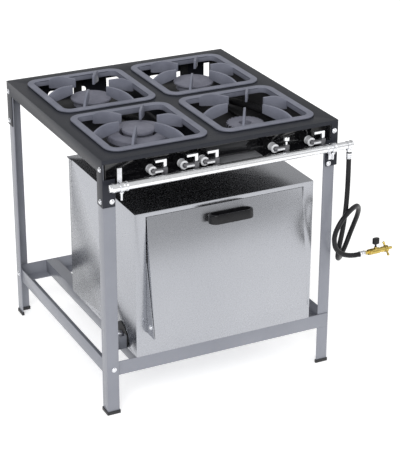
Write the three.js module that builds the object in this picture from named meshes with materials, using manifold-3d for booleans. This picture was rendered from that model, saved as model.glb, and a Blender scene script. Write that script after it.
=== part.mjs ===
// Four-burner gas range on an angle-iron stand, with a free-standing oven on its lower shelf.
// Millimetres, +Z up, the front faces -Y. Lengths are laid out from the stand's front left
// corner on the floor, and the whole group is centred over its footprint at the end.
import * as THREE from 'three';
import { mergeVertices } from 'three/addons/utils/BufferGeometryUtils.js';
import Module from 'manifold-3d';

const wasm = await Module();
wasm.setup();

// ---------------------------------------------------------------- driving dimensions
const rangeWidth = 747;
const rangeDepth = 750;
const topHeight = 800;
const touch = 0.3;            // gap between pieces that touch

const top = {
  sheet: 2.5, sideSkirt: 40, frontLip: 12, grateGap: 31,
  bracketLeg: 38, bracketDrop: 140, bracketNotch: 58,
};
// The rear skirt hangs lower behind each rear burner, with a slot that the bars' bolts slide in.
const apron = { width: 271, drop: 91, slotLength: 130, slotHeight: 23, slotDrop: 66.5 };
// A plate welded front to back under the sheet keeps it from sagging.
const brace = { thick: 2, drop: 80, end: 48 };
const consoleBox = {
  wall: 1.5, depth: 50, floorHeight: topHeight - 72, left: 10, rightInset: 24,
};
const legAngle = { width: 37, wall: 3 };
const foot = { height: 11, floor: 4, wall: 2 };
const rail = { bottom: 124, height: 44, flange: 40, wall: 3 };
const ovenRail = { flange: 38, inset: 5.5 };
const grate = {
  outer: 317, flange: 21, rise: 6, corner: 42, skirtWall: 4, skirtDepth: 12, underFall: 0.29,
  fingers: 6, fingerWidth: 7, tipRadius: 60, tipRise: 20, tipDepth: 27, tipFlat: 26,
  clearance: 1,
};
const grateInner = grate.outer - 2 * grate.flange;
const grateInnerCorner = grate.corner - grate.flange;
const skirtSide = grateInner + 2 * grate.skirtWall;
const skirtCorner = grateInnerCorner + grate.skirtWall;
const burnerSpacing = grate.outer + top.grateGap;
const manifold = {
  radius: 11.5, y: -26, height: topHeight - 73, left: 24, right: rangeWidth + 15,
};
const elbow = { x: manifold.right + 10, spoutRadius: 9, spoutEnd: manifold.height - 21 };
const tap = {
  y: -5, axisHeight: topHeight - 54, bodyLength: 34, bodyHeight: 16, bodyDepth: 13,
  spindle: 4, leverHeight: topHeight - 22, leverLength: 34, leverWidth: 9, leverThick: 7,
  knobRadius: 9.5, knobHeight: 11,
};
const tube = { radius: 11, bore: 8, boreDepth: 34, front: -0.5, straight: 84, sides: 12 };
const burnerBar = {
  width: 27, wall: 5, height: topHeight - 78, tab: 24, leftOffset: 35, rightOffset: 62,
};
const spillTray = { wall: 1.5, legGap: 5, endGap: 3, floorHeight: topHeight - 88 };
const flatBurner = {
  capRadius: 62.5, capTop: topHeight - 18, capThick: 9, bowlRadius: 54, bowlTop: topHeight - 30,
};
const ringBurner = {
  outer: 92.5, inner: 54, topHeight: topHeight - 13, bottom: topHeight - 38,
};
const coreBurner = {
  radius: 42, top: topHeight - 17, capRadius: 47.5, capTop: topHeight - 2, capThick: 13,
};
const toothBurner = {
  radius: 56, hole: 19, teeth: 24, toothDepth: 4, top: topHeight - 43, bottom: topHeight - 62,
};
const oven = {
  offset: 11.8, width: 575.4, front: 5, depth: 490, height: 452,
  sheet: 2, stile: 33.4, topRail: 12.5, sill: 74, returnDepth: 23,
  roofLip: 8, cavitySide: 22, cavityRoof: 14, cavityBack: 40, cavityFloor: 20, cavityFlange: 6,
};
const door = {
  lean: 50, thick: 22, skin: 2, sideGap: 3, topGap: 1.2, bottomGap: 0.5,
  pinForward: 26, pinRise: 29, pinRadius: 3, pinReach: 12,
};
const hingePlate = { thick: 2, height: 223, foot: 50, root: 18 };
const handle = { length: 139, depth: 48, height: 27, wall: 5, below: 25, offset: -16 };
const ovenRack = { rod: 2.5, bars: 9, rise: 242, inset: 3, ledge: 14 };
const ovenBurner = { radius: 11, rise: 30, y: 110, outside: 14, inside: 470 };
const inletBracket = { y: 71, width: 42, height: 41, depth: 18, wall: 3 };

const hoseRadius = 7.5;
// Route of the supply hose from the elbow's spout to the valve's tail, measured from the foot
// of the spout: down, once round in an upright loop in front of the right leg, then level.
const hoseRoute = [
  [0, 0, 0], [0, 0, -22], [-1, -2, -46], [-4, -7, -78], [-9, -14, -120],
  [-16, -22, -161], [-24, -29, -197], [-33, -35, -234], [-41, -37, -269], [-42, -31, -302],
  [-32, -14, -330], [-13, 9, -344], [11, 33, -344], [35, 51, -327], [53, 59, -298],
  [62, 52, -262], [60, 33, -226], [50, 13, -198], [35, -5, -179], [13, -25, -169],
  [-15, -43, -170], [-44, -55, -184], [-64, -59, -207], [-73, -58, -233], [-72, -56, -255],
  [-66, -54, -274], [-55, -53, -289], [-40, -53, -301], [-22, -54, -308], [-3, -54, -312],
  [17, -54, -313], [36, -54, -313],
];
const hoseStep = 24;
const valve = {
  barb: 12, length: 58, radius: 8.5, stemPlace: 26, stem: 3, stemRise: 14,
  knobLength: 22, knobDepth: 15, knobHeight: 17, knobLift: 10,
  nose: 26, noseRadius: 4.5, wingSpan: 42, wingRadius: 10, wingThick: 10,
};

// ---------------------------------------------------------------- finishes
const finish = (color, roughness, metalness) =>
  new THREE.MeshStandardMaterial({ color, roughness, metalness });
const blackPaint = finish(0x3a3c44, 0.45, 0.1);
const glossPanel = finish(0x101114, 0.12, 0.3);
const greyPaint = finish(0x9b9da8, 0.4, 0.2);
const castIron = finish(0x8c8c9b, 0.6, 0.2);
const chrome = finish(0xd8dade, 0.15, 1);
const stainless = finish(0xb4b8c2, 0.25, 1);
const blackPlastic = finish(0x18181a, 0.4, 0);
const blackRubber = finish(0x1a1a1c, 0.7, 0);
const brass = finish(0xb9a53c, 0.3, 1);
const zinc = finish(0xa8aab0, 0.35, 1);

// ---------------------------------------------------------------- solids
// A closed solid that can be joined and cut, from a three.js geometry.
function solid(geometry) {
  geometry.deleteAttribute('normal');
  geometry.deleteAttribute('uv');
  const merged = mergeVertices(geometry, 1e-4);
  return new wasm.Manifold(new wasm.Mesh({
    numProp: 3,
    vertProperties: new Float32Array(merged.attributes.position.array),
    triVerts: new Uint32Array(merged.index.array),
  }));
}

function block(x0, x1, y0, y1, z0, z1) {
  const geometry = new THREE.BoxGeometry(x1 - x0, y1 - y0, z1 - z0);
  geometry.translate((x0 + x1) / 2, (y0 + y1) / 2, (z0 + z1) / 2);
  return solid(geometry);
}

// A flat outline, raised from z0 to z1.
function raise(shape, z0, z1, curveSegments = 8) {
  const geometry = new THREE.ExtrudeGeometry(
    shape, { depth: z1 - z0, bevelEnabled: false, curveSegments });
  geometry.translate(0, 0, z0);
  return solid(geometry);
}

// A turned solid about a vertical axis, from [radius, height] points.
function turn(profile, segments = 28) {
  const points = profile.map(([radius, height]) => new THREE.Vector2(radius, height));
  const geometry = new THREE.LatheGeometry([...points, points[0]], segments);
  geometry.rotateX(Math.PI / 2);
  return solid(geometry);
}

const rod = (radius, z0, z1, segments = 20) =>
  turn([[0, z0], [radius, z0], [radius, z1], [0, z1]], segments);

// A round bar between two points.
function bar(from, to, radius, segments = 16) {
  const a = new THREE.Vector3(...from);
  const b = new THREE.Vector3(...to);
  const along = b.clone().sub(a);
  const geometry = new THREE.CylinderGeometry(radius, radius, along.length(), segments);
  const turnTo = new THREE.Quaternion().setFromUnitVectors(
    new THREE.Vector3(0, 1, 0), along.normalize());
  geometry.applyQuaternion(turnTo);
  geometry.translate((a.x + b.x) / 2, (a.y + b.y) / 2, (a.z + b.z) / 2);
  return solid(geometry);
}

// A round section carried along a smooth curve through the points.
function swept(points, radius, sides, steps) {
  const curve = new THREE.CatmullRomCurve3(
    points.map((p) => new THREE.Vector3(...p)), false, 'centripetal');
  const section = new THREE.Shape();
  for (let i = 0; i <= sides; i += 1) {
    const angle = (i * 2 * Math.PI) / sides;
    const x = radius * Math.cos(angle);
    const y = radius * Math.sin(angle);
    if (i === 0) section.moveTo(x, y);
    else if (i < sides) section.lineTo(x, y);
  }
  section.closePath();
  return solid(new THREE.ExtrudeGeometry(
    section, { steps, bevelEnabled: false, extrudePath: curve, curveSegments: 1 }));
}

function joined(...solids) {
  return solids.reduce((whole, piece) => whole.add(piece));
}

function cut(body, ...tools) {
  return tools.reduce((rest, tool) => rest.subtract(tool), body);
}

function roundedSquare(side, corner) {
  const half = side / 2;
  const shape = new THREE.Shape();
  shape.moveTo(-half + corner, -half);
  shape.lineTo(half - corner, -half);
  shape.absarc(half - corner, -half + corner, corner, -Math.PI / 2, 0);
  shape.lineTo(half, half - corner);
  shape.absarc(half - corner, half - corner, corner, 0, Math.PI / 2);
  shape.lineTo(-half + corner, half);
  shape.absarc(-half + corner, half - corner, corner, Math.PI / 2, Math.PI);
  shape.lineTo(-half, -half + corner);
  shape.absarc(-half + corner, -half + corner, corner, Math.PI, 1.5 * Math.PI);
  return shape;
}

function stadium(length, width) {
  const half = (length - width) / 2;
  const shape = new THREE.Shape();
  shape.moveTo(-half, -width / 2);
  shape.lineTo(half, -width / 2);
  shape.absarc(half, 0, width / 2, -Math.PI / 2, Math.PI / 2);
  shape.lineTo(-half, width / 2);
  shape.absarc(-half, 0, width / 2, Math.PI / 2, 1.5 * Math.PI);
  return shape;
}

const range = new THREE.Group();
const hoseSet = new THREE.Group();

function addPiece(name, body, material, group = range) {
  const mesh = body.getMesh();
  const geometry = new THREE.BufferGeometry();
  geometry.setAttribute('position', new THREE.BufferAttribute(mesh.vertProperties, 3));
  geometry.setIndex(new THREE.BufferAttribute(mesh.triVerts, 1));
  const piece = new THREE.Mesh(geometry, material);
  piece.name = name;
  group.add(piece);
  return piece;
}

const centreX = rangeWidth / 2;
const centreY = rangeDepth / 2;
const burnerPlaces = [
  { name: 'front_left', x: centreX - burnerSpacing / 2, y: centreY - burnerSpacing / 2 },
  { name: 'front_right', x: centreX + burnerSpacing / 2, y: centreY - burnerSpacing / 2 },
  { name: 'rear_left', x: centreX - burnerSpacing / 2, y: centreY + burnerSpacing / 2 },
  { name: 'rear_right', x: centreX + burnerSpacing / 2, y: centreY + burnerSpacing / 2 },
];
const [frontLeft, frontRight, rearLeft, rearRight] = burnerPlaces;

// ---------------------------------------------------------------- cooktop
// One folded sheet: four openings, skirts on three sides, a short lip in front, and an angle
// welded down each corner that the legs bolt into.
{
  const bottom = topHeight - top.sideSkirt;
  const under = topHeight - top.sheet;
  const s = top.sheet;
  const b = top.bracketLeg;
  const low = topHeight - top.bracketDrop;
  let sheet = joined(
    block(0, rangeWidth, 0, rangeDepth, under, topHeight),
    block(0, s, 0, rangeDepth, bottom, topHeight),
    block(rangeWidth - s, rangeWidth, 0, rangeDepth, bottom, topHeight),
    block(0, rangeWidth, rangeDepth - s, rangeDepth, bottom, topHeight),
    block(0, rangeWidth, 0, s, topHeight - top.frontLip, topHeight),
  );
  for (const side of [0, 1]) {
    const x0 = side ? rangeWidth - s : 0;
    const flangeX = side ? rangeWidth - b : 0;
    const frontTop = side ? topHeight : topHeight - top.bracketNotch;
    const frontFace = side ? rangeWidth - consoleBox.rightInset + consoleBox.wall : 0;
    sheet = joined(
      sheet,
      block(x0, x0 + s, 0, b, low, topHeight),
      block(x0, x0 + s, rangeDepth - b, rangeDepth, low, topHeight),
      block(flangeX, flangeX + b, rangeDepth - s, rangeDepth, low, topHeight),
      block(flangeX, flangeX + b, 0, s, low, topHeight - top.bracketNotch),
      block(frontFace, side ? rangeWidth : s, 0, s, low, frontTop),
    );
  }
  for (const { x } of [rearLeft, rearRight]) {
    const slot = raise(stadium(apron.slotLength, apron.slotHeight), -s, 2 * s)
      .rotate([90, 0, 0]).translate(x, rangeDepth, topHeight - apron.slotDrop);
    sheet = cut(joined(sheet, block(x - apron.width / 2, x + apron.width / 2, rangeDepth - s,
      rangeDepth, topHeight - apron.drop, under)), slot);
  }
  sheet = joined(sheet, block(centreX - brace.thick / 2, centreX + brace.thick / 2,
    top.sheet + consoleBox.depth + 1, rangeDepth - brace.end, topHeight - brace.drop, under + 1));
  const opening = roundedSquare(skirtSide + 2 * grate.clearance, skirtCorner + grate.clearance);
  const hole = raise(opening, under - 5, topHeight + 5, 5);
  for (const { x, y } of burnerPlaces) sheet = cut(sheet, hole.translate(x, y, 0));
  addPiece('cooktop', sheet, blackPaint);
}

// ---------------------------------------------------------------- tap places
// Each tap feeds the mixing tube that stands just to its left.
const tapPlaces = [
  { name: 'front_left_ring', x: frontLeft.x - 13.5 },
  { name: 'front_left_core', x: frontLeft.x + 83.5 },
  { name: 'rear_left', x: rearLeft.x + 147.5 },
  { name: 'front_right', x: frontRight.x + 24.5 },
  { name: 'rear_right', x: rearRight.x + 144.5 },
];
const tubeX = tapPlaces.map(({ x }) => x - tap.bodyLength);
const [ringTubeX, coreTubeX, rearLeftTubeX, frontRightTubeX, rearRightTubeX] = tubeX;

// ---------------------------------------------------------------- console
// A black tray folded up behind the gas pipe: floor, back and two ends, under the cooktop.
{
  const w = consoleBox.wall;
  const x0 = consoleBox.left;
  const x1 = rangeWidth - consoleBox.rightInset;
  const y0 = top.sheet + touch;
  const y1 = y0 + consoleBox.depth;
  const z0 = consoleBox.floorHeight;
  const z1 = topHeight - top.sheet - touch;
  let tray = joined(
    block(x0, x1, y0, y1, z0 - w, z0),
    block(x0, x1, y1 - w, y1, z0 - w, z1),
    block(x0, x0 + w, y0, y1, z0 - w, z1),
    block(x1 - w, x1, y0, y1, z0 - w, z1),
  );
  for (const x of tubeX) {
    const radius = tube.radius + 2 * touch;
    tray = cut(tray, bar([x, y1 - 3 * w, tap.axisHeight], [x, y1 + w, tap.axisHeight], radius));
  }
  addPiece('console_tray', tray, glossPanel);
}

// ---------------------------------------------------------------- legs and feet
// Each leg is an angle with its corner outside. The front rail laps over the right front leg,
// so that leg stands back by the rail's thickness and the left leg's.
const legSkin = top.sheet + touch;
const lap = 2 * (rail.wall + touch);
const legs = [
  { name: 'front_left', left: true, front: true, y: legSkin },
  { name: 'front_right', left: false, front: true, y: legSkin + lap },
  { name: 'rear_left', left: true, front: false, y: rangeDepth - legSkin },
  { name: 'rear_right', left: false, front: false, y: rangeDepth - legSkin },
];

// An angle whose corner is at x, y and which runs inward by width on both sides.
function cornerAngle(leg, x, y, width, wall, z0, z1) {
  const dx = leg.left ? 1 : -1;
  const dy = leg.front ? 1 : -1;
  const span = (a, length, direction) => [Math.min(a, a + length * direction),
    Math.max(a, a + length * direction)];
  return joined(
    block(...span(x, width, dx), ...span(y, wall, dy), z0, z1),
    block(...span(x, wall, dx), ...span(y, width, dy), z0, z1),
  );
}

for (const leg of legs) {
  const x = leg.left ? legSkin : rangeWidth - legSkin;
  const z0 = foot.floor + touch;
  const z1 = topHeight - top.sheet - touch;
  let post = cornerAngle(leg, x, leg.y, legAngle.width, legAngle.wall, z0, z1);
  if (leg.front) {
    const clear = consoleBox.floorHeight - consoleBox.wall - touch;
    const inner = leg.left ? x + legAngle.wall : x - legAngle.wall;
    const far = leg.left ? x + 2 * legAngle.width : x - 2 * legAngle.width;
    post = cut(post, block(Math.min(inner, far), Math.max(inner, far),
      leg.y - 1, leg.y + 2 * legAngle.width, clear, topHeight));
  }
  addPiece(`leg_${leg.name}`, post, greyPaint);

  const dx = leg.left ? -1 : 1;
  const dy = leg.front ? -1 : 1;
  const grow = foot.wall + touch;
  const shoe = cornerAngle(leg, x + dx * grow, leg.y + dy * grow,
    legAngle.width + 2 * grow, legAngle.wall + 2 * grow, 0, foot.height);
  const socket = cornerAngle(leg, x + dx * touch, leg.y + dy * touch,
    legAngle.width + 2 * touch, legAngle.wall + 2 * touch, foot.floor, foot.height + 1);
  addPiece(`foot_${leg.name}`, cut(shoe, socket), blackPlastic);
}

// ---------------------------------------------------------------- lower rails
// Angles with the web outside and the flange turned in along the bottom.
const railTop = rail.bottom + rail.height;
const railSkin = legSkin + legAngle.wall + touch;
const railEnd = railSkin + rail.wall + touch;
const flangeTop = rail.bottom + rail.wall;
{
  const z0 = rail.bottom;
  const w = rail.wall;
  const x0 = railSkin;
  const x1 = rangeWidth - railSkin;
  const frontY = railSkin;
  const backY = rangeDepth - railSkin;
  const sideEnd = railEnd + rail.flange + touch;
  addPiece('rail_front', joined(
    block(x0, x1, frontY, frontY + w, z0, railTop),
    block(x0 + legAngle.width, x1 - legAngle.width, frontY, frontY + rail.flange, z0, flangeTop),
  ), greyPaint);
  addPiece('rail_rear', joined(
    block(x0, x1, backY - w, backY, z0, railTop),
    block(railEnd, rangeWidth - railEnd, backY - rail.flange, backY, z0, flangeTop),
  ), greyPaint);
  addPiece('rail_left', joined(
    block(x0, x0 + w, railEnd, rangeDepth - railEnd, z0, railTop),
    block(x0, x0 + rail.flange, sideEnd, rangeDepth - sideEnd, z0, flangeTop),
  ), greyPaint);
  const rightFront = legSkin + lap + legAngle.wall + touch;
  addPiece('rail_right', joined(
    block(x1 - w, x1, rightFront, rangeDepth - railEnd, z0, railTop),
    block(x1 - rail.flange, x1, sideEnd, rangeDepth - sideEnd, z0, flangeTop),
  ), greyPaint);
}

// Two angles front to back carry the oven, standing on the rails' flanges.
const ovenLeft = centreX - oven.width / 2 + oven.offset;
const ovenRight = ovenLeft + oven.width;
for (const side of ['left', 'right']) {
  const out = side === 'left' ? ovenLeft + ovenRail.inset : ovenRight - ovenRail.inset;
  const into = side === 'left' ? 1 : -1;
  const webEnd = out + into * rail.wall;
  const flangeEnd = out + into * ovenRail.flange;
  const z0 = flangeTop + touch;
  const z1 = railTop - touch;
  addPiece(`oven_rail_${side}`, joined(
    block(Math.min(out, webEnd), Math.max(out, webEnd), railEnd, rangeDepth - railEnd, z0, z1),
    block(Math.min(out, flangeEnd), Math.max(out, flangeEnd), railEnd, rangeDepth - railEnd,
      z1 - rail.wall, z1),
  ), greyPaint);
}

// ---------------------------------------------------------------- gas pipe
// The pipe is closed by a plug on the left and turns down through an elbow on the right.
// A strap at each end holds it off the corner angles.
{
  const m = manifold;
  addPiece('gas_pipe', bar([m.left, m.y, m.height], [m.right, m.y, m.height], m.radius, 24),
    chrome);
  const plugRadius = m.radius + 2.5;
  addPiece('pipe_plug', bar([m.left - 14, m.y, m.height], [m.left - touch, m.y, m.height],
    plugRadius, 12), chrome);

  const spoutTop = m.height - m.radius + 3.5;
  addPiece('hose_elbow', joined(
    bar([m.right + touch, m.y, m.height], [elbow.x + 12, m.y, m.height], m.radius + 1.5, 20),
    bar([elbow.x, m.y, spoutTop], [elbow.x, m.y, elbow.spoutEnd + touch], elbow.spoutRadius, 16),
  ), chrome);

  const strapWidth = 14;
  const strapThick = 3;
  for (const [side, x] of [['left', 46], ['right', rangeWidth - 30]]) {
    const ring = cut(
      bar([x - strapWidth / 2, m.y, m.height], [x + strapWidth / 2, m.y, m.height],
        m.radius + strapThick, 24),
      bar([x - strapWidth, m.y, m.height], [x + strapWidth, m.y, m.height],
        m.radius + touch, 24),
    );
    const tailY = m.y + m.radius + touch;
    const tailTop = side === 'left' ? m.height + 50 : m.height + 10;
    const tailBottom = side === 'left' ? m.height - 4 : m.height - 40;
    const tail = block(x - strapWidth / 2, x + strapWidth / 2, tailY, tailY + strapThick,
      tailBottom, tailTop);
    const seatZ = side === 'left' ? m.height - 12 : m.height - 34;
    const seatX = side === 'left' ? x - 8 : x + 4;
    const arm = block(Math.min(x, seatX) - strapWidth / 2, Math.max(x, seatX) + strapWidth / 2,
      tailY, tailY + strapThick, seatZ - 7, seatZ + 16);
    const stub = block(seatX - 5, seatX + 5, tailY, -touch, seatZ - 5, seatZ + 5);
    const bore = bar([x - strapWidth, m.y, m.height], [x + strapWidth, m.y, m.height],
      m.radius + touch, 24);
    addPiece(`pipe_strap_${side}`, cut(joined(ring, tail, arm, stub), bore), zinc);
  }
}

// ---------------------------------------------------------------- taps
// A tap's inlet seats on the back of the pipe. Its body runs left to the jet that blows into
// the mixing tube, and its handle turns on an upright spindle: four bent levers and one knob.
const spindleBase = tap.axisHeight + tap.bodyHeight / 2;
tapPlaces.forEach(({ name, x }, index) => {
  const half = tap.bodyDepth / 2;
  const z0 = tap.axisHeight - tap.bodyHeight / 2;
  const z1 = spindleBase;
  const inletZ = manifold.height + 6;
  let body = joined(
    block(x - 7, x + 7, tap.y - half, tap.y + half, z0 - 8, z1),
    block(tubeX[index] - 5, x, tap.y - half + 2, tap.y + half - 2, z0 + 3, z1 - 3),
    bar([tubeX[index], tap.y, tap.axisHeight],
      [tubeX[index], tube.front - touch, tap.axisHeight], 5, 12),
    bar([x, manifold.y, inletZ], [x, tap.y, inletZ], 4, 12),
  );
  body = cut(body, bar([x - 20, manifold.y, manifold.height],
    [x + 20, manifold.y, manifold.height], manifold.radius + touch, 24));
  addPiece(`tap_body_${name}`, body, zinc);

  const foot0 = spindleBase + touch;
  const stem = rod(tap.spindle, foot0, tap.leverHeight - tap.leverThick).translate(x, tap.y, 0);
  if (name === 'front_right') {
    const base = tap.leverHeight - tap.knobHeight;
    const cap = turn([[0, base - 3], [5, base - 3], [tap.knobRadius, base + 3],
      [tap.knobRadius, tap.leverHeight - 1], [tap.knobRadius - 1, tap.leverHeight],
      [0, tap.leverHeight]], 24).translate(x, tap.y, 0);
    addPiece('tap_knob_front_right', joined(stem, cap), chrome);
  } else {
    const halfWidth = tap.leverWidth / 2;
    const arm = block(x - tap.leverLength + halfWidth, x + halfWidth, tap.y - halfWidth,
      tap.y + halfWidth, tap.leverHeight - tap.leverThick, tap.leverHeight);
    const post = block(x - halfWidth, x + halfWidth, tap.y - halfWidth, tap.y + halfWidth,
      foot0 + 2, tap.leverHeight);
    addPiece(`tap_lever_${name}`, joined(stem, arm, post), chrome);
  }
});

// ---------------------------------------------------------------- burner supports
// A flat bar under each row of burners, turned up behind the console and at the rear skirt.
const barBack = rangeDepth - top.sheet - touch;
const barFront = top.sheet + touch + consoleBox.depth + touch;
const barTop = burnerBar.height + burnerBar.wall;
const barPlaces = {
  left: frontLeft.x + burnerBar.leftOffset, right: frontRight.x + burnerBar.rightOffset,
};
const frontTabTop = tap.axisHeight - tube.radius - 1;
for (const [side, x] of Object.entries(barPlaces)) {
  const x0 = x - burnerBar.width / 2;
  const x1 = x + burnerBar.width / 2;
  const z0 = burnerBar.height;
  const tabTop = topHeight - top.sideSkirt + burnerBar.tab;
  addPiece(`burner_bar_${side}`, joined(
    block(x0, x1, barFront, barBack, z0, barTop),
    block(x0, x1, barFront, barFront + burnerBar.wall, z0, frontTabTop),
    block(x0, x1, barBack - burnerBar.wall, barBack, z0, tabTop),
  ), blackPaint);
}

// ---------------------------------------------------------------- spill tray
// A black sheet folded up at both sides runs under the bars and catches what boils over.
{
  const t = spillTray;
  const x0 = legSkin + legAngle.width + t.legGap;
  const x1 = rangeWidth - x0;
  const y0 = barFront + t.endGap;
  const y1 = barBack - t.endGap;
  const z1 = topHeight - top.sheet - touch;
  addPiece('spill_tray', joined(
    block(x0, x1, y0, y1, t.floorHeight, t.floorHeight + t.wall),
    block(x0, x0 + t.wall, y0, y1, t.floorHeight, z1),
    block(x1 - t.wall, x1, y0, y1, t.floorHeight, z1),
  ), blackPaint);
}

// ---------------------------------------------------------------- burners
// Castings: each has a head, a foot that seats on its support bar, and a mixing tube that
// runs forward through the console to the jet.
function mixingTube(points) {
  const steps = 3 * (points.length - 1);
  const [mouth] = points;
  const inner = [mouth[0], mouth[1] + tube.boreDepth, mouth[2]];
  const outerEnd = [mouth[0], mouth[1] - 1, mouth[2]];
  return cut(swept(points, tube.radius, tube.sides, steps),
    bar(outerEnd, inner, tube.bore, 12));
}

function seatFoot(place, barX, z1) {
  const x0 = Math.min(place.x, barX) - 9;
  const x1 = Math.max(place.x, barX) + 9;
  return block(x0, x1, place.y - 11, place.y + 11, barTop + touch, z1);
}

// A flat-capped burner for a rear place.
function flatBurnerAt(place, mouthX, barX) {
  const b = flatBurner;
  const neck = b.capTop - b.capThick - touch;
  const midX = (mouthX + place.x) / 2;
  const straight = frontLeft.y + ringBurner.outer;
  const bowl = turn([[0, tap.axisHeight - tube.radius], [24, tap.axisHeight - tube.radius],
    [b.bowlRadius, b.bowlTop - 12], [b.bowlRadius, b.bowlTop], [b.bowlRadius - 14, b.bowlTop],
    [b.bowlRadius - 14, neck], [0, neck]]).translate(place.x, place.y, 0);
  const pipe = mixingTube([[mouthX, tube.front, tap.axisHeight],
    [mouthX, straight / 2, tap.axisHeight], [mouthX, straight, tap.axisHeight],
    [midX, (straight + place.y) / 2 + 20, tap.axisHeight],
    [place.x, place.y, tap.axisHeight]]);
  addPiece(`burner_${place.name}`,
    joined(bowl, pipe, seatFoot(place, barX, tap.axisHeight)), castIron);
  const under = b.capTop - b.capThick;
  addPiece(`burner_cap_${place.name}`, turn([[0, under], [b.capRadius - 5, under],
    [b.capRadius, under + 3], [b.capRadius, b.capTop - 2.5], [b.capRadius - 2.5, b.capTop],
    [0, b.capTop]], 32).translate(place.x, place.y, 0), castIron);
}
flatBurnerAt(rearLeft, rearLeftTubeX, barPlaces.left);
flatBurnerAt(rearRight, rearRightTubeX, barPlaces.right);

// The front left place is a double burner: a wide ring around a capped core.
{
  const r = ringBurner;
  const ring = turn([[r.inner, r.bottom], [r.outer - 6, r.bottom], [r.outer, r.bottom + 8],
    [r.outer, r.topHeight - 3], [r.outer - 3, r.topHeight], [r.inner + 3, r.topHeight],
    [r.inner, r.topHeight - 3]], 32).translate(frontLeft.x, frontLeft.y, 0);
  const offset = ringTubeX - frontLeft.x;
  const across = (r.inner + r.outer) / 2;
  const reach = frontLeft.y - Math.sqrt(across ** 2 - offset ** 2);
  const pipe = mixingTube([[ringTubeX, tube.front, tap.axisHeight],
    [ringTubeX, reach / 2, tap.axisHeight], [ringTubeX, reach, tap.axisHeight]]);
  const neck = rod(tube.radius, tap.axisHeight - 4, r.bottom + 6, 16)
    .translate(ringTubeX, reach - tube.radius, 0);
  const barX = barPlaces.left;
  const post = block(barX - 9, barX + 9, frontLeft.y + r.inner + 6, frontLeft.y + r.inner + 26,
    barTop + touch, r.bottom + 4);
  addPiece('burner_front_left_ring', joined(ring, pipe, neck, post), castIron);

  const c = coreBurner;
  const neckTop = c.capTop - c.capThick - touch;
  const core = turn([[0, tap.axisHeight - tube.radius], [20, tap.axisHeight - tube.radius],
    [c.radius, c.top - 17], [c.radius, c.top], [c.radius - 10, c.top], [c.radius - 10, neckTop],
    [0, neckTop]], 24).translate(frontLeft.x, frontLeft.y, 0);
  const corePipe = mixingTube([[coreTubeX, tube.front, tap.axisHeight],
    [coreTubeX, tube.straight / 2, tap.axisHeight],
    [coreTubeX, tube.straight, tap.axisHeight],
    [(coreTubeX + frontLeft.x) / 2, (frontLeft.y + tube.straight) / 2 + 24, tap.axisHeight],
    [frontLeft.x, frontLeft.y, tap.axisHeight]]);
  addPiece('burner_front_left_core',
    joined(core, corePipe, seatFoot(frontLeft, barX, tap.axisHeight)), castIron);
  const under = c.capTop - c.capThick;
  addPiece('burner_cap_front_left', turn([[0, under], [c.capRadius - 6, under],
    [c.capRadius, under + 4], [c.capRadius, c.capTop - 3], [c.capRadius - 3, c.capTop],
    [0, c.capTop]], 28).translate(frontLeft.x, frontLeft.y, 0), castIron);
}

// The front right place has a low toothed ring with an open centre.
{
  const t = toothBurner;
  const outline = new THREE.Shape();
  const pitch = (2 * Math.PI) / t.teeth;
  for (let i = 0; i < t.teeth; i += 1) {
    for (const [part, radius] of [[0, t.radius], [0.5, t.radius],
      [0.62, t.radius - t.toothDepth], [0.88, t.radius - t.toothDepth]]) {
      const angle = (i + part) * pitch;
      const x = radius * Math.cos(angle);
      const y = radius * Math.sin(angle);
      if (i === 0 && part === 0) outline.moveTo(x, y);
      else outline.lineTo(x, y);
    }
  }
  outline.closePath();
  const mouth = [frontRightTubeX, tube.front, tap.axisHeight];
  const pipe = mixingTube([mouth, [frontRightTubeX, frontRight.y / 2, tap.axisHeight],
    [frontRightTubeX, frontRight.y - t.hole - tube.radius, tap.axisHeight]]);
  const wheel = cut(raise(outline, t.bottom, t.top), rod(t.hole, t.bottom - 1, t.top + 1, 28))
    .translate(frontRight.x, frontRight.y, 0);
  const seat = block(frontRight.x + t.hole + 6, barPlaces.right + 9, frontRight.y - 11,
    frontRight.y + 11, barTop + touch, t.bottom + 4);
  addPiece('burner_front_right', cut(joined(pipe, wheel, seat),
    rod(t.hole, t.bottom + 5, t.top + 1, 28).translate(frontRight.x, frontRight.y, 0)), castIron);
}

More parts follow.
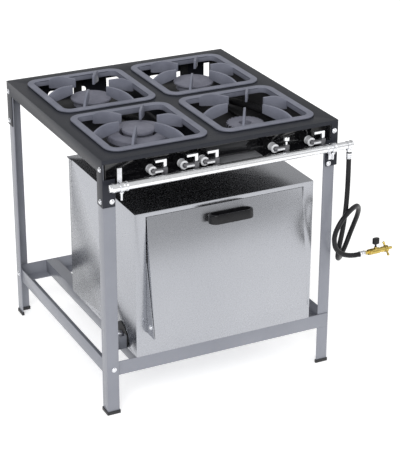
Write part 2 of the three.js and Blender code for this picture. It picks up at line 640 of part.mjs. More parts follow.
// ---------------------------------------------------------------- grates
// A cast frame with rounded corners drops into each opening and hangs by its flange. Six thin
// fingers rise from it in an arch and stop short of the middle.
function grateSolid() {
  const g = grate;
  const seat = topHeight + touch;
  const crown = topHeight + g.rise;
  const skirtBottom = topHeight - g.skirtDepth;
  const frame = cut(
    joined(raise(roundedSquare(g.outer, g.corner), seat, crown, 5),
      raise(roundedSquare(skirtSide, skirtCorner), skirtBottom, crown - 1, 5)),
    raise(roundedSquare(grateInner, grateInnerCorner), skirtBottom - 1, crown + 1, 5),
  );
  const bound = raise(roundedSquare(grateInner + g.skirtWall, grateInnerCorner + g.skirtWall / 2),
    crown - g.outer, crown + g.tipRise + 1, 5);
  const tipTop = crown + g.tipRise;
  const far = g.outer;
  let body = frame;
  for (let i = 0; i < g.fingers; i += 1) {
    const profile = new THREE.Shape();
    profile.moveTo(g.tipRadius, tipTop - g.tipDepth);
    profile.lineTo(g.tipRadius, tipTop);
    profile.lineTo(g.tipRadius + g.tipFlat, tipTop);
    const angle = (i * 2 * Math.PI) / g.fingers;
    const reach = grateInner / 2 / Math.max(Math.abs(Math.cos(angle)), Math.abs(Math.sin(angle)));
    profile.quadraticCurveTo(reach - 22, tipTop - 1, reach + 1, crown - 1);
    profile.lineTo(far, crown - 1);
    const rootStart = reach - 6;
    const rootBottom = tipTop - g.tipDepth - g.underFall * (rootStart - g.tipRadius);
    profile.lineTo(far, rootBottom);
    profile.lineTo(rootStart, rootBottom);
    const plate = new THREE.ExtrudeGeometry(
      profile, { depth: g.fingerWidth, bevelEnabled: false, curveSegments: 4 });
    plate.translate(0, 0, -g.fingerWidth / 2);
    plate.rotateX(Math.PI / 2);
    plate.rotateZ(angle);
    body = joined(body, solid(plate).intersect(bound));
  }
  return body;
}
const oneGrate = grateSolid();
for (const { name, x, y } of burnerPlaces) {
  addPiece(`grate_${name}`, oneGrate.translate(x, y, 0), castIron);
}

// ---------------------------------------------------------------- oven
const ovenBase = railTop;
const ovenTop = ovenBase + oven.height;
const ovenBack = oven.front + oven.depth;
const mouthLeft = ovenLeft + oven.stile;
const mouthRight = ovenRight - oven.stile;
const mouthBottom = ovenBase + oven.sill;
const mouthTop = ovenTop - oven.topRail;
const ovenBurnerHeight = ovenBase + ovenBurner.rise;

// Outer case: polished sheet, with a front frame whose edges turn back around the mouth.
{
  const s = oven.sheet;
  const back = oven.front + oven.returnDepth + s;
  let shell = cut(
    block(ovenLeft, ovenRight, oven.front, ovenBack, ovenBase, ovenTop),
    block(ovenLeft + s, ovenRight - s, oven.front + s, ovenBack - s, ovenBase + s, ovenTop - s),
    block(mouthLeft, mouthRight, oven.front - 1, oven.front + 2 * s, mouthBottom, mouthTop),
  );
  const collar = cut(
    block(mouthLeft - s, mouthRight + s, oven.front + s / 2, back, mouthBottom - s, mouthTop + s),
    block(mouthLeft, mouthRight, oven.front, back + 1, mouthBottom, mouthTop),
  );
  const inletHole = bar([ovenLeft - 5, ovenBurner.y, ovenBurnerHeight],
    [ovenLeft + 5, ovenBurner.y, ovenBurnerHeight], ovenBurner.radius + 2 * touch, 20);
  const roofEdge = block(ovenLeft - 3, ovenLeft + s, ovenBack - 30, ovenBack + oven.roofLip,
    ovenTop - s, ovenTop);
  shell = cut(joined(shell, collar, roofEdge,
    block(ovenLeft, ovenRight, ovenBack - s, ovenBack + oven.roofLip, ovenTop - s, ovenTop)),
  inletHole);
  addPiece('oven_case', shell, stainless);
}

// Inner cavity: a box open at the front, flanged behind the mouth, with slots in its floor and
// a ledge along each side for the rack.
const cavity = {
  x0: mouthLeft + oven.cavitySide - oven.sheet,
  x1: mouthRight - oven.cavitySide + oven.sheet,
  y0: oven.front + oven.returnDepth + oven.sheet + touch,
  y1: ovenBack - oven.cavityBack,
  z0: mouthBottom + oven.cavityFloor,
  z1: mouthTop - oven.cavityRoof,
};
{
  const s = oven.sheet;
  const c = cavity;
  const f = oven.cavityFlange;
  let liner = joined(
    cut(block(c.x0 - s, c.x1 + s, c.y0, c.y1 + s, c.z0 - s, c.z1 + s),
      block(c.x0, c.x1, c.y0 - 1, c.y1, c.z0, c.z1)),
    cut(block(mouthLeft - f, mouthRight + f, c.y0, c.y0 + s, mouthBottom - f, mouthTop + f),
      block(c.x0, c.x1, c.y0 - 1, c.y0 + s + 1, c.z0, c.z1)),
  );
  const ledge = ovenBase + ovenRack.rise - ovenRack.rod - touch;
  for (const [wall, into] of [[c.x0, 1], [c.x1, -1]]) {
    const near = wall - into * s / 2;
    const far = wall + into * ovenRack.ledge;
    liner = joined(liner, block(Math.min(near, far), Math.max(near, far), c.y0 + 12, c.y1,
      ledge - s, ledge));
  }
  const slots = 4;
  for (let i = 0; i < slots; i += 1) {
    const y = c.y0 + ((c.y1 - c.y0) * (i + 0.7)) / slots;
    liner = cut(liner, block(c.x0 + 50, c.x1 - 50, y - 4, y + 4, c.z0 - 2 * s, c.z0 + 1));
  }
  addPiece('oven_cavity', liner, zinc);
}

// Wire rack resting on the cavity's two ledges.
{
  const c = cavity;
  const r = ovenRack.rod;
  const z = ovenBase + ovenRack.rise;
  const x0 = c.x0 + ovenRack.inset + r;
  const x1 = c.x1 - ovenRack.inset - r;
  const y0 = c.y0 + 20;
  const y1 = c.y1 - ovenRack.inset - r;
  let rack = joined(
    bar([x0 - r, y0, z], [x1 + r, y0, z], r, 6),
    bar([x0 - r, y1, z], [x1 + r, y1, z], r, 6),
  );
  for (let i = 0; i < ovenRack.bars; i += 1) {
    const x = x0 + ((x1 - x0) * i) / (ovenRack.bars - 1);
    rack = joined(rack, bar([x, y0 - r, z], [x, y1 + r, z], r * 0.9, 6));
  }
  addPiece('oven_rack', rack, chrome);
}

// Tube burner under the cavity floor; its inlet end comes out through the left side.
{
  const b = ovenBurner;
  const start = ovenLeft - b.outside;
  const z = ovenBurnerHeight;
  const outer = bar([start, b.y, z], [start + b.inside, b.y, z], b.radius, 16);
  const bore = bar([start - 1, b.y, z], [start + 60, b.y, z], b.radius - 3, 12);
  addPiece('oven_burner', cut(outer, bore), castIron);
  // An angle on the case's side guards the inlet.
  const g = inletBracket;
  const seat = ovenLeft - touch;
  addPiece('inlet_bracket', joined(
    block(seat - g.width, seat, g.y, g.y + g.wall, ovenBase + touch, ovenBase + g.height),
    block(seat - g.wall, seat, g.y, g.y + g.depth, ovenBase + touch, ovenBase + g.height),
  ), greyPaint);
}

// ---------------------------------------------------------------- oven door
// The door leans: its top lies in the mouth and its foot stands forward, so that it falls shut.
// It turns on two stub pins that the triangular side plates carry.
const doorHeight = (mouthTop - mouthBottom - door.topGap - door.bottomGap)
  / Math.cos(Math.asin(door.lean / (mouthTop - mouthBottom)));
const doorLean = Math.asin(door.lean / (mouthTop - mouthBottom));
const doorLeft = mouthLeft + door.sideGap;
const doorRight = mouthRight - door.sideGap;
const doorFootY = oven.front - door.lean;
const doorFootZ = mouthBottom + door.bottomGap;
const doorGroup = new THREE.Group();
doorGroup.position.set(0, doorFootY, doorFootZ);
doorGroup.rotation.x = -doorLean;
range.add(doorGroup);

const pinY = oven.front - door.pinForward;
const pinZ = mouthBottom + door.pinRise;
// The pin's place in the door's own leaning frame.
const pinInDoor = new THREE.Vector3(0, pinY - doorFootY, pinZ - doorFootZ)
  .applyAxisAngle(new THREE.Vector3(1, 0, 0), doorLean);
{
  const s = door.skin;
  const t = door.thick;
  let pan = cut(
    block(doorLeft, doorRight, 0, t - s - touch, 0, doorHeight),
    block(doorLeft + s, doorRight - s, s, t + 1, s, doorHeight - s),
  );
  const pinHole = bar([doorLeft - 1, pinInDoor.y, pinInDoor.z],
    [doorRight + 1, pinInDoor.y, pinInDoor.z], door.pinRadius + touch, 16);
  const boss = (x) => bar([x - 4, pinInDoor.y, pinInDoor.z], [x + 4, pinInDoor.y, pinInDoor.z],
    door.pinRadius + 4, 16);
  const keep = block(doorLeft, doorRight, s / 2, t - s - touch, s / 2, doorHeight);
  pan = cut(joined(pan, boss(doorLeft + 4).intersect(keep), boss(doorRight - 4).intersect(keep)),
    pinHole);
  addPiece('door_shell', pan, stainless, doorGroup);

  const clearOfPin = (x) => bar([x - 14, pinInDoor.y, pinInDoor.z],
    [x + 14, pinInDoor.y, pinInDoor.z], door.pinRadius + 5, 16);
  const back = cut(block(doorLeft, doorRight, t - s, t, 0, doorHeight),
    clearOfPin(doorLeft), clearOfPin(doorRight));
  addPiece('door_back', back, zinc, doorGroup);

  const h = handle;
  const z1 = doorHeight - h.below;
  const z0 = z1 - h.height;
  const cup = cut(
    raise(stadium(h.length, h.depth), z0, z1, 12),
    raise(stadium(h.length - 2 * h.wall, h.depth - 2 * h.wall), z0 + h.wall, z1 + 1, 12),
  ).translate((doorLeft + doorRight) / 2 + h.offset, -h.depth / 2 - touch, 0);
  addPiece('door_handle', cup, blackPlastic, doorGroup);
}

// Side plates: fixed inside the mouth, they fill the wedge beside the leaning door.
for (const [side, wall, into] of [['left', mouthLeft, 1], ['right', mouthRight, -1]]) {
  const p = hingePlate;
  const near = wall + into * touch;
  const outline = new THREE.Shape();
  outline.moveTo(oven.front + p.root, mouthBottom + touch);
  outline.lineTo(oven.front - p.foot, mouthBottom + touch);
  outline.lineTo(oven.front, mouthBottom + p.height);
  outline.lineTo(oven.front + p.root, mouthBottom + p.height);
  outline.closePath();
  const plate = new THREE.ExtrudeGeometry(outline, { depth: p.thick, bevelEnabled: false });
  plate.rotateY(Math.PI / 2);
  plate.rotateX(Math.PI / 2);
  plate.translate(side === 'left' ? near : near - p.thick, 0, 0);
  const pin = bar([near, pinY, pinZ], [near + into * (p.thick + door.pinReach), pinY, pinZ],
    door.pinRadius, 16);
  addPiece(`hinge_plate_${side}`, joined(solid(plate), pin), stainless);
}

// ---------------------------------------------------------------- supply hose and its valve
{
  hoseSet.position.set(elbow.x, manifold.y, elbow.spoutEnd);
  const points = hoseRoute.map((p) => new THREE.Vector3(...p));
  const curve = new THREE.CatmullRomCurve3(points, false, 'centripetal');
  const steps = Math.round(curve.getLength() / hoseStep);
  addPiece('hose', swept(hoseRoute, hoseRadius, 8, steps), blackRubber, hoseSet);

  // The valve lies in line with the hose's level end.
  const end = points.at(-1);
  const v = valve;
  const line = new THREE.Group();
  line.position.copy(end);
  hoseSet.add(line);
  const x0 = touch;
  const bodyEnd = v.barb + v.length;
  const knobX = v.barb + v.stemPlace;
  addPiece('valve_body', joined(
    bar([x0, 0, 0], [v.barb + 2, 0, 0], hoseRadius, 16),
    bar([v.barb, 0, 0], [bodyEnd, 0, 0], v.radius, 20),
    bar([knobX, 0, 0], [knobX, 0, v.stemRise - touch], 6, 16),
    bar([bodyEnd - 1, 0, 0], [bodyEnd + v.nose, 0, 0], v.noseRadius, 16),
  ), brass, line);
  const gripFoot = v.stemRise + v.knobLift;
  const grip = raise(stadium(v.knobLength, v.knobDepth), gripFoot, gripFoot + v.knobHeight, 8);
  addPiece('valve_knob', joined(rod(v.stem, v.stemRise, gripFoot + 2, 12), grip)
    .translate(knobX, 0, 0), blackPlastic, line);
  const nutX = bodyEnd + touch;
  addPiece('wing_nut', cut(joined(
    bar([nutX, 0, 0], [nutX + v.wingThick, 0, 0], v.wingRadius, 20),
    bar([nutX + v.wingThick / 2, v.wingSpan * 0.35, v.wingSpan * 0.36],
      [nutX + v.wingThick / 2, -v.wingSpan * 0.35, -v.wingSpan * 0.36], 3.5, 12),
  ), bar([nutX - 1, 0, 0], [nutX + v.wingThick + 1, 0, 0], v.noseRadius + touch, 16)), brass,
  line);
}

// ---------------------------------------------------------------- centre over the footprint
const extent = new THREE.Box3().setFromObject(range);
const middle = extent.getCenter(new THREE.Vector3());
const whole = new THREE.Group();
whole.add(range, hoseSet);
whole.position.set(-middle.x, -middle.y, -extent.min.z);

export default whole;
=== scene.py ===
"""Four-burner gas range on an angle-iron stand, with the oven it carries and its supply hose."""
import math

import bmesh
import bpy
from mathutils import Matrix, Vector


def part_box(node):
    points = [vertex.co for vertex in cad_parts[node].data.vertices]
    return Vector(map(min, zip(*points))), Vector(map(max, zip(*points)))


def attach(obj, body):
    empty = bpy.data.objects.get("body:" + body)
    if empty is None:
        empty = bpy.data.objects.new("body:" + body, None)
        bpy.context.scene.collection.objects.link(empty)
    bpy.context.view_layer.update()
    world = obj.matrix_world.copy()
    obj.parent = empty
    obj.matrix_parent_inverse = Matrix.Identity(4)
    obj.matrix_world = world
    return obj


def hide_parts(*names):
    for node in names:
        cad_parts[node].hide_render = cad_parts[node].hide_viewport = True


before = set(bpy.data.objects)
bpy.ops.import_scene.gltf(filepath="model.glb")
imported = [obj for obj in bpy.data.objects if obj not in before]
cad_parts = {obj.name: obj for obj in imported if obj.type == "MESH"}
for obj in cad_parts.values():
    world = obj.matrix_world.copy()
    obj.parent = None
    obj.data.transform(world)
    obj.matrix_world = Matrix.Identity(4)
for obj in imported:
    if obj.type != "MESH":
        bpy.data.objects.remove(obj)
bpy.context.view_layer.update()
scene = bpy.context.scene

# ------------------------------------------------------------------ camera, light and floor
# A long lens looks down on the front left corner of the top. The floor and the air are pale,
# with one wide soft light from the front left and a weaker one from the right.
MM = 0.001
top_low, top_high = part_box("cooktop")
corner = Vector((top_low.x, top_low.y, 0.0))


def at(x, y, z):
    """A point in millimetres right of, behind and above the stand's front left corner."""
    return corner + Vector((x, y, z)) * MM


swing = math.radians(-26.50)
tilt = math.radians(24.21)
roll = math.radians(0.19)
backward = Vector((math.sin(swing) * math.cos(tilt), -math.cos(swing) * math.cos(tilt),
                   math.sin(tilt)))
level_right = Vector((math.cos(swing), math.sin(swing), 0.0))
level_up = backward.cross(level_right)
right = math.cos(roll) * level_right + math.sin(roll) * level_up
upward = math.cos(roll) * level_up - math.sin(roll) * level_right
lens = bpy.data.cameras.new("camera")
lens.sensor_fit = "VERTICAL"
lens.sensor_height = 36.0
lens.lens = 123.8
camera = bpy.data.objects.new("camera", lens)
camera.matrix_world = Matrix.Translation(at(-1527.9, -3663.7, 2382.5)) @ Matrix(
    (right, upward, backward)).transposed().to_4x4()
scene.collection.objects.link(camera)
scene.camera = camera
scene.view_settings.view_transform = "Standard"

air = bpy.data.worlds.new("air")
air.use_nodes = True
air.node_tree.nodes["Background"].inputs["Color"].default_value = (1.0, 1.0, 1.0, 1.0)
air.node_tree.nodes["Background"].inputs["Strength"].default_value = 0.56
scene.world = air


def soft_sun(name, place, spread, power):
    """An even light from the direction of a place, with soft shadows. Spread is in degrees."""
    lamp = bpy.data.lights.new(name, "SUN")
    lamp.energy = power
    lamp.angle = math.radians(spread)
    holder = bpy.data.objects.new(name, lamp)
    holder.location = at(*place)
    facing = at(373, 375, 450) - holder.location
    holder.rotation_euler = facing.to_track_quat("-Z", "Y").to_euler()
    scene.collection.objects.link(holder)


soft_sun("key_light", (-1500, -2300, 2600), 35.0, 1.45)
soft_sun("fill_light", (2900, -900, 1900), 50.0, 0.5)


def set_sockets(node, **values):
    for name, value in values.items():
        node.inputs[name.replace("_", " ")].default_value = value


def finish(name, dark, light, rough, metal=0.0, patch=9.0, grain=700.0, bump=0.12,
           depth=0.15, spread=0.05, stretch=(1.0, 1.0, 1.0), shine=0.5, coat=0.0, worn=None,
           worn_from=0.66):
    """A surface whose colour drifts between two tones in patches, with a fine grain in its
    gloss and its relief. Depth is in millimetres. Worn is a third tone, in thin scuffs."""
    material = bpy.data.materials.new(name)
    material.use_nodes = True
    nodes = material.node_tree.nodes
    link = material.node_tree.links.new
    shader = nodes["Principled BSDF"]
    set_sockets(shader, Metallic=metal, Specular_IOR_Level=shine, Coat_Weight=coat,
                Coat_Roughness=0.08)
    where = nodes.new("ShaderNodeTexCoord")
    scale = nodes.new("ShaderNodeMapping")
    scale.inputs["Scale"].default_value = stretch
    link(where.outputs["Object"], scale.inputs["Vector"])
    drift = nodes.new("ShaderNodeTexNoise")
    set_sockets(drift, Scale=patch, Detail=5.0, Roughness=0.6)
    link(scale.outputs["Vector"], drift.inputs["Vector"])
    tones = nodes.new("ShaderNodeValToRGB")
    tones.color_ramp.elements[0].position = 0.3
    tones.color_ramp.elements[0].color = (*dark, 1.0)
    tones.color_ramp.elements[1].position = 0.7
    tones.color_ramp.elements[1].color = (*light, 1.0)
    link(drift.outputs["Fac"], tones.inputs["Fac"])
    colour = tones.outputs["Color"]
    if worn:
        scuffs = nodes.new("ShaderNodeTexNoise")
        set_sockets(scuffs, Scale=patch * 7.0, Detail=8.0, Roughness=0.75)
        link(scale.outputs["Vector"], scuffs.inputs["Vector"])
        mask = nodes.new("ShaderNodeMapRange")
        set_sockets(mask, From_Min=worn_from, From_Max=worn_from + 0.06, To_Max=0.55)
        link(scuffs.outputs["Fac"], mask.inputs["Value"])
        blend = nodes.new("ShaderNodeMix")
        blend.data_type = "RGBA"
        blend.inputs["B"].default_value = (*worn, 1.0)
        link(mask.outputs["Result"], blend.inputs["Factor"])
        link(colour, blend.inputs["A"])
        colour = blend.outputs["Result"]
    link(colour, shader.inputs["Base Color"])
    fine = nodes.new("ShaderNodeTexNoise")
    set_sockets(fine, Scale=grain, Detail=3.0, Roughness=0.55)
    link(scale.outputs["Vector"], fine.inputs["Vector"])
    gloss = nodes.new("ShaderNodeMapRange")
    set_sockets(gloss, From_Min=0.3, From_Max=0.7, To_Min=rough - spread, To_Max=rough + spread)
    link(fine.outputs["Fac"], gloss.inputs["Value"])
    link(gloss.outputs["Result"], shader.inputs["Roughness"])
    relief = nodes.new("ShaderNodeBump")
    set_sockets(relief, Strength=bump, Distance=depth * MM)
    link(fine.outputs["Fac"], relief.inputs["Height"])
    link(relief.outputs["Normal"], shader.inputs["Normal"])
    return material


floor_finish = finish("pale_floor", (0.88, 0.88, 0.88), (0.90, 0.90, 0.90), 0.85, patch=0.7,
                      bump=0.02, shine=0.2)
set_sockets(floor_finish.node_tree.nodes["Principled BSDF"],
            Emission_Color=(1.0, 1.0, 1.0, 1.0), Emission_Strength=0.48)
floor_shape = bmesh.new()
bmesh.ops.create_circle(floor_shape, cap_ends=True, segments=96, radius=14.0)
floor_mesh = bpy.data.meshes.new("floor")
floor_shape.to_mesh(floor_mesh)
floor_shape.free()
floor = bpy.data.objects.new("floor", floor_mesh)
floor_mesh.materials.append(floor_finish)
scene.collection.objects.link(floor)

# ------------------------------------------------------------------ supply hose
# Black rubber hose, 15 mm across, pushed on to the elbow's spout. It drops, makes one upright
# loop in front of the right leg and runs level into the valve. A crimped steel ferrule holds
# each end.
elbow_low, elbow_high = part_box("hose_elbow")
spout_foot = Vector((elbow_high.x - 12 * MM, (elbow_low.y + elbow_high.y) / 2,
                     elbow_low.z - 0.3 * MM))
hose_route = [
    (0, 0, 0), (0, 0, -22), (-1, -2, -46), (-4, -7, -78), (-9, -14, -120),
    (-16, -22, -161), (-24, -29, -197), (-33, -35, -234), (-41, -37, -269), (-42, -31, -302),
    (-32, -14, -330), (-13, 9, -344), (11, 33, -344), (35, 51, -327), (53, 59, -298),
    (62, 52, -262), (60, 33, -226), (50, 13, -198), (35, -5, -179), (13, -25, -169),
    (-15, -43, -170), (-44, -55, -184), (-64, -59, -207), (-73, -58, -233), (-72, -56, -255),
    (-66, -54, -274), (-55, -53, -289), (-40, -53, -301), (-22, -54, -308), (-3, -54, -312),
    (17, -54, -313), (36, -54, -313),
]
hose_width = 0.015

rubber = finish("hose_rubber", (0.006, 0.006, 0.007), (0.012, 0.012, 0.014), 0.42,
                patch=30.0, grain=500.0, bump=0.08, depth=0.2, shine=0.25)
brass = finish("turned_brass", (0.50, 0.37, 0.09), (0.66, 0.51, 0.16), 0.24, metal=1.0,
               patch=45.0, grain=900.0, bump=0.08, worn=(0.30, 0.20, 0.05))
bright_zinc = finish("bright_zinc", (0.72, 0.73, 0.76), (0.88, 0.89, 0.92), 0.26, metal=0.9,
                     patch=60.0, grain=800.0, bump=0.06)
black_moulding = finish("black_moulding", (0.005, 0.005, 0.006), (0.010, 0.010, 0.012), 0.30,
                        patch=40.0, grain=1400.0, bump=0.08, shine=0.3)


def settled(name, mesh, material, body, sharp_from=32.0):
    """Links a finished mesh as a piece that rides on a body, smooth but for its sharp edges."""
    for polygon in mesh.polygons:
        polygon.use_smooth = True
    mesh.set_sharp_from_angle(angle=math.radians(sharp_from))
    mesh.materials.append(material)
    piece = bpy.data.objects.new(name, mesh)
    scene.collection.objects.link(piece)
    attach(piece, body)
    return piece


def piece_from(name, shape, material, body, sharp_from=32.0):
    """Ends a bmesh whose closed parts are done and makes it a piece."""
    bmesh.ops.recalc_face_normals(shape, faces=shape.faces)
    mesh = bpy.data.meshes.new(name)
    shape.to_mesh(mesh)
    shape.free()
    return settled(name, mesh, material, body, sharp_from)


def pour(whole, part, move=None):
    """Adds one shape's faces to another's, moved on the way, and frees it."""
    if move:
        part.transform(move)
    carrier = bpy.data.meshes.new("carrier")
    part.to_mesh(carrier)
    part.free()
    whole.from_mesh(carrier)
    bpy.data.meshes.remove(carrier)


def turned(profile, segments=48):
    """A shape turned about Z from points (radius, height) in millimetres."""
    shape = bmesh.new()
    line = [shape.verts.new((radius * MM, 0.0, height * MM)) for radius, height in profile]
    for start, end in zip(line, line[1:]):
        shape.edges.new((start, end))
    bmesh.ops.spin(shape, geom=shape.verts[:] + shape.edges[:], cent=(0, 0, 0), axis=(0, 0, 1),
                   angle=math.tau, steps=segments, use_merge=True)
    bmesh.ops.remove_doubles(shape, verts=shape.verts, dist=1e-6)
    return shape


def towards(place, direction, spin=0.0):
    """The move that takes a shape made along Z to a place, with Z along direction."""
    aim = Vector(direction).to_track_quat("Z", "Y").to_matrix().to_4x4()
    return Matrix.Translation(place) @ aim @ Matrix.Rotation(spin, 4, "Z")


def softened(shape, width, segments=2, from_angle=30.0):
    """Rounds every edge that is sharper than an angle. Width is in millimetres."""
    sharp = [edge for edge in shape.edges
             if edge.is_manifold and edge.calc_face_angle() > math.radians(from_angle)]
    bmesh.ops.bevel(shape, geom=sharp, offset=width * MM, offset_type="OFFSET",
                    segments=segments, profile=0.5, affect="EDGES", clamp_overlap=True,
                    material=-1)
    return shape


def bar_of(size, width=0.6, segments=2):
    """A block of a size in millimetres about the origin, with softened edges."""
    shape = bmesh.new()
    bmesh.ops.create_cube(shape, size=MM)
    bmesh.ops.scale(shape, vec=size, verts=shape.verts)
    return softened(shape, width, segments)


def hexagon(across, height, chamfer=0.8):
    """A six-sided nut or head standing on Z = 0, in millimetres across its corners."""
    shape = bmesh.new()
    bmesh.ops.create_cone(shape, cap_ends=True, segments=6, radius1=across / 2 * MM,
                          radius2=across / 2 * MM, depth=height * MM,
                          matrix=Matrix.Translation((0, 0, height / 2 * MM)))
    return softened(shape, chamfer)


hose_line = bpy.data.curves.new("supply_hose", "CURVE")
hose_line.dimensions = "3D"
hose_line.bevel_depth = hose_width / 2
hose_line.bevel_resolution = 6
hose_line.use_fill_caps = True
strand = hose_line.splines.new("BEZIER")
strand.bezier_points.add(len(hose_route) - 1)
strand.resolution_u = 10
for knot, (x, y, z) in zip(strand.bezier_points, hose_route):
    knot.co = spout_foot + Vector((x, y, z)) * MM
    knot.handle_left_type = "AUTO"
    knot.handle_right_type = "AUTO"
hose_line.materials.append(rubber)
hose = bpy.data.objects.new("supply_hose", hose_line)
scene.collection.objects.link(hose)
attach(hose, "stand")
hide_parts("hose")

ferrule_profile = [(7.6, 0), (8.9, 0), (8.9, 3), (8.3, 4), (8.3, 6), (8.9, 7), (8.9, 10),
                   (8.3, 11), (8.3, 13), (8.9, 14), (8.9, 17), (7.6, 17), (7.6, 0)]
ferrules = bmesh.new()
tail = spout_foot + Vector(hose_route[-1]) * MM
pour(ferrules, turned(ferrule_profile), towards(spout_foot + Vector((0, 0, -4 * MM)), (0, 0, -1)))
pour(ferrules, turned(ferrule_profile), towards(tail + Vector((-1 * MM, 0, 0)), (-1, 0, 0)))
hose_ferrules = piece_from("hose_ferrules", ferrules, bright_zinc, "stand")

# ------------------------------------------------------------------ valve on the hose
# Turned brass valve in line with the hose's end: a hex shoulder, a body with a stem for the
# oval black knob, and a nose with the wing nut that draws it into the supply.
along = Vector((1, 0, 0))
valve = turned([(0, 0.3), (7.2, 0.3), (7.2, 4), (5, 5), (5, 12), (8.5, 12), (8.5, 14), (7, 15),
                (7, 24), (9.2, 26), (9.2, 50), (7.6, 52), (7.6, 58), (8.5, 59), (8.5, 69.6),
                (4.5, 69.9), (4.5, 92), (3.2, 96), (0, 96)], 40)
bmesh.ops.transform(valve, matrix=towards(tail, along), verts=valve.verts)
pour(valve, hexagon(21, 7), towards(tail + along * 15.5 * MM, along))
pour(valve, turned([(0, 0), (6, 0), (6, 9), (4.4, 10), (4.4, 13.5), (0, 13.5)], 32),
     towards(tail + along * 38 * MM, (0, 0, 1)))
valve_piece = piece_from("gas_valve", valve, brass, "stand")
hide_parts("valve_body")


def stadium_block(length, width, height, rounding, segments=10):
    """A block with two round ends, standing on Z = 0, softened by rounding millimetres."""
    shape = bmesh.new()
    half, side = length / 2 * MM, width / 2 * MM
    outline = [shape.verts.new((sx * half, sy * side, 0.0))
               for sx, sy in ((-1, -1), (1, -1), (1, 1), (-1, 1))]
    shape.faces.new(outline)
    bmesh.ops.bevel(shape, geom=outline, offset=side * 0.995, offset_type="OFFSET",
                    segments=segments, profile=0.5, affect="VERTICES", material=-1)
    raised = bmesh.ops.extrude_face_region(shape, geom=shape.faces[:])
    bmesh.ops.translate(shape, vec=(0, 0, height * MM),
                        verts=[v for v in raised["geom"] if isinstance(v, bmesh.types.BMVert)])
    bmesh.ops.recalc_face_normals(shape, faces=shape.faces)
    return softened(shape, rounding, 3, 60.0)


knob = bmesh.new()
pour(knob, turned([(0, 0), (3, 0), (3, 11), (0, 11)], 24))
pour(knob, stadium_block(22, 15, 17, 3.0), Matrix.Translation((0, 0, 10 * MM)))
bmesh.ops.translate(knob, vec=tail + Vector((38, 0, 14)) * MM, verts=knob.verts)
knob_piece = piece_from("gas_valve_knob", knob, black_moulding, "hose_valve_knob")
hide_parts("valve_knob")

wing = turned([(5.0, 0), (10, 0), (10, 3), (8.6, 4), (8.6, 6), (10, 7), (10, 10), (5.0, 10),
               (5.0, 0)], 40)
for side in (1, -1):
    arm = turned([(0, 6), (3.2, 6), (3.0, 14), (3.9, 19), (3.9, 21), (2.6, 23), (0, 23)], 24)
    pour(wing, arm, towards(Vector((0, 0, 5 * MM)), (side * 0.72, side * 0.70, 0)))
wing_place = tail + along * 70.3 * MM
bmesh.ops.transform(wing, matrix=towards(wing_place, along), verts=wing.verts)
wing_piece = piece_from("gas_wing_nut", wing, brass, "hose_wing_nut")
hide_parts("wing_nut")

# ------------------------------------------------------------------ stand
# Mild steel angle, mitred and bolted: four legs, four rails round the bottom and two angles
# that carry the oven. Sprayed with grey enamel, which is thin and a little scuffed at its edges.
stand_enamel = finish("stand_enamel", (0.205, 0.214, 0.248), (0.240, 0.250, 0.287), 0.36,
                      patch=4.0, grain=420.0, bump=0.05, depth=0.12, coat=0.15,
                      worn=(0.30, 0.31, 0.34), worn_from=0.70)
foot_moulding = finish("foot_moulding", (0.010, 0.010, 0.012), (0.022, 0.022, 0.024), 0.5,
                       patch=50.0, grain=900.0, bump=0.12)


def eased(node, material, body, width=0.6, segments=2):
    """The piece for a CAD node of folded or solid metal: the same shape with worked edges."""
    shape = bmesh.new()
    shape.from_mesh(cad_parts[node].data)
    bmesh.ops.remove_doubles(shape, verts=shape.verts, dist=2e-6)
    bmesh.ops.dissolve_limit(shape, angle_limit=math.radians(0.5), verts=shape.verts,
                             edges=shape.edges)
    softened(shape, width, segments)
    mesh = bpy.data.meshes.new(node + "_metal")
    shape.to_mesh(mesh)
    shape.free()
    piece = settled(node + "_metal", mesh, material, body)
    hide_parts(node)
    return piece


corners = ("front_left", "front_right", "rear_left", "rear_right")
for name in corners:
    eased("leg_" + name, stand_enamel, "stand", 0.7)
    eased("foot_" + name, foot_moulding, "stand", 0.8)
for name in ("rail_front", "rail_rear", "rail_left", "rail_right", "oven_rail_left",
             "oven_rail_right", "inlet_bracket"):
    eased(name, stand_enamel, "stand", 0.6)

# ------------------------------------------------------------------ cooktop
# One sheet of 2.5 mm steel with four openings and folded skirts, with an angle welded inside
# each corner. Charcoal enamel, satin, darker where heat has dulled it.
charcoal_enamel = finish("charcoal_enamel", (0.016, 0.018, 0.024), (0.026, 0.028, 0.037), 0.40,
                         patch=5.0, grain=520.0, bump=0.05, depth=0.12, shine=0.18,
                         worn=(0.040, 0.042, 0.052), worn_from=0.68)
eased("cooktop", charcoal_enamel, "stand", 0.7)

# ------------------------------------------------------------------ bolts
# Zinc-plated pan-head bolts with a washer, through the corner angles and the legs, and through
# the front rail and the left leg.
pan_head = [(0, -0.4), (7.6, -0.4), (7.6, 1.0), (5.6, 1.0), (5.4, 3.2), (4.2, 4.6), (2.0, 5.3),
            (0, 5.4)]
bolts = bmesh.new()


def bolt(x, y, z, direction):
    pour(bolts, turned(pan_head, 24), towards(at(x, y, z), direction))


front, left, back, to_right = (0, -1, 0), (-1, 0, 0), (0, 1, 0), (1, 0, 0)
width_mm = (top_high.x - top_low.x) / MM
depth_mm = (top_high.y - top_low.y) / MM
for height in (675, 770):
    for y in (15, depth_mm - 15):
        bolt(0, y, height, left)
        bolt(width_mm, y, height, to_right)
    bolt(20, depth_mm, height, back)
    bolt(width_mm - 20, depth_mm, height, back)
bolt(28, 0, 676, front)
bolt(width_mm - 28, 0, 668, front)
bolt(width_mm - 12, 0, 768, front)
leg_face = 2.8
bolt(25, leg_face, 146, front)
bolt(leg_face, depth_mm - 24, 146, left)
bolt(25, depth_mm - leg_face, 146, back)
bolt(width_mm - 25, depth_mm - leg_face, 146, back)
bolt(width_mm - leg_face, depth_mm - 24, 146, to_right)
piece_from("stand_bolts", bolts, bright_zinc, "stand")

